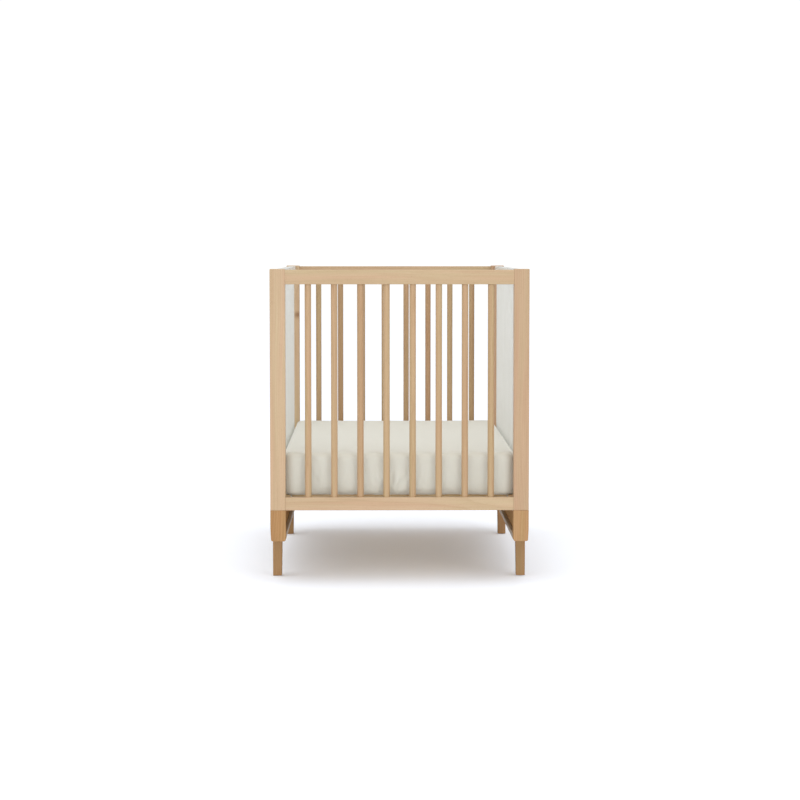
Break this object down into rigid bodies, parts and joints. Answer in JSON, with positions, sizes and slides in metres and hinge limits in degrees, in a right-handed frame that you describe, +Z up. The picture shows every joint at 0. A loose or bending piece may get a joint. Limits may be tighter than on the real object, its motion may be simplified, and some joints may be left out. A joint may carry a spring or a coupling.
{
  "type": "baby crib",
  "caption": "Full-size baby crib with spindle ends and sides, raised base beams on short tapered legs, a height-adjustable slatted platform and a sheeted mattress.",
  "frame": {"origin": "on the floor, at the middle of the crib's plan", "axes": "+X across the crib, +Y along its length away from the front end panel, +Z up"},
  "size_m": [0.762, 1.384, 0.9275],
  "materials": {
    "beech": "clear satin lacquer on straight-grained beech",
    "white_lacquer": "white satin lacquer on beech",
    "pine": "planed, unfinished",
    "cotton_sheet": "plain weave cotton",
    "mattress_ticking": "quilted ticking",
    "bracket_steel": "white powder coat",
    "zinc_steel": "zinc plated",
    "brass_insert": "turned",
    "glide_plastic": "moulded"
  },
  "bodies": {
    "frame": {"end_rail_dowels": "beech", "foot_glides": "glide_plastic", "front_end_bottom_rail": "beech", "front_end_spindle_1": "beech", "front_end_spindle_2": "beech", "front_end_spindle_3": "beech", "front_end_spindle_4": "beech", "front_end_spindle_5": "beech", "front_end_spindle_6": "beech", "front_end_spindle_7": "beech", "front_end_spindle_8": "beech", "front_end_top_rail": "beech", "front_left_leg": "beech", "front_left_post": "beech", "front_right_leg": "beech", "front_right_post": "beech", "left_base_beam": "beech", "left_lower_cleat": "white_lacquer", "left_side_bottom_rail": "white_lacquer", "left_side_spindles": "white_lacquer", "left_side_top_rail": "white_lacquer", "left_upper_cleat": "white_lacquer", "post_barrel_nuts": "zinc_steel", "post_bolts": "zinc_steel", "rear_end_bottom_rail": "beech", "rear_end_spindle_1": "beech", "rear_end_spindle_2": "beech", "rear_end_spindle_3": "beech", "rear_end_spindle_4": "beech", "rear_end_spindle_5": "beech", "rear_end_spindle_6": "beech", "rear_end_spindle_7": "beech", "rear_end_spindle_8": "beech", "rear_end_top_rail": "beech", "rear_left_leg": "beech", "rear_left_post": "beech", "rear_right_leg": "beech", "rear_right_post": "beech", "right_base_beam": "beech", "right_lower_cleat": "white_lacquer", "right_side_bottom_rail": "white_lacquer", "right_side_spindles": "white_lacquer", "right_side_top_rail": "white_lacquer", "right_upper_cleat": "white_lacquer", "side_bolt_inserts": "brass_insert", "side_bolts": "zinc_steel", "support_pin_inserts": "brass_insert", "support_pins": "zinc_steel"},
    "platform": {"hanger_plate_screws": "zinc_steel", "platform_front_bar": "pine", "platform_hanger_plates": "bracket_steel", "platform_left_bar": "pine", "platform_rear_bar": "pine", "platform_right_bar": "pine", "platform_slats": "pine", "slat_screws": "zinc_steel"},
    "mattress": {"mattress": "mattress_ticking", "fitted_sheet": "cotton_sheet"}
  },
  "joints": [
    {"name": "platform_height", "type": "slide", "parent": "frame", "child": "platform", "axis": [0, 0, 1], "range_m": [0, 0.2]},
    {"name": "mattress_lift", "type": "slide", "parent": "platform", "child": "mattress", "axis": [0, 0, 1], "range_m": [0, 0.7]}
  ]
}
